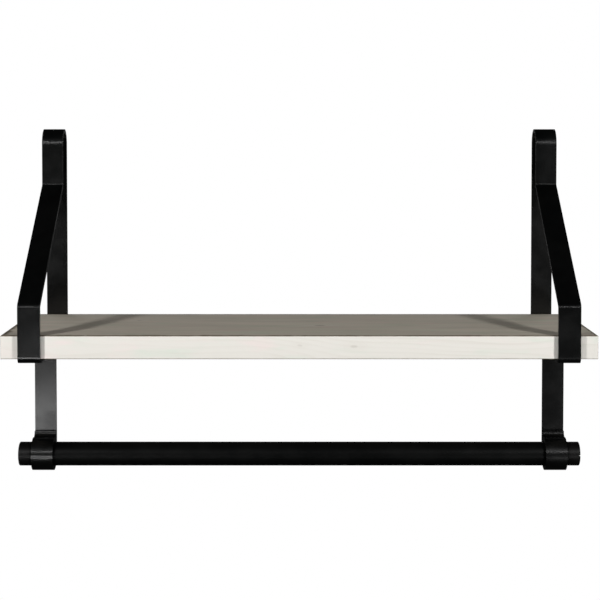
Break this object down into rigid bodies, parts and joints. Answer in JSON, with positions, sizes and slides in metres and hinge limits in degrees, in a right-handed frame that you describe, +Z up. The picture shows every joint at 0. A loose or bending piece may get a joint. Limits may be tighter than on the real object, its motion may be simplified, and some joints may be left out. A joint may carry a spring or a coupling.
{
  "type": "wall shelf with brackets",
  "caption": "Wooden wall shelf in two bent flat-steel brackets, with a round towel bar turning in rolled eyes below the board.",
  "frame": {"origin": "centre of the four wall-screw holes, on the wall plane", "axes": "+X along the shelf, to the right as seen from the room; +Y into the wall; +Z up"},
  "size_m": [0.61, 0.2, 0.3664],
  "materials": {
    "whitewashed_wood": "whitewashed, matte",
    "black_steel": "satin black powder coat",
    "black_tube": "satin black powder coat",
    "black_plastic": "matte, moulded",
    "black_screw": "black oxide"
  },
  "bodies": {
    "shelf": {"shelf_board": "whitewashed_wood", "left_bracket_strap": "black_steel", "right_bracket_strap": "black_steel", "left_bar_hanger": "black_steel", "right_bar_hanger": "black_steel", "left_board_screws": "black_screw", "right_board_screws": "black_screw"},
    "towel_bar": {"towel_bar_tube": "black_tube", "left_bar_plug": "black_plastic", "right_bar_plug": "black_plastic"}
  },
  "joints": [
    {"name": "towel_bar_spin", "type": "hinge", "parent": "shelf", "child": "towel_bar", "pos_m": [0, -0.10545, -0.184], "axis": [1, 0, 0], "continuous": true}
  ]
}
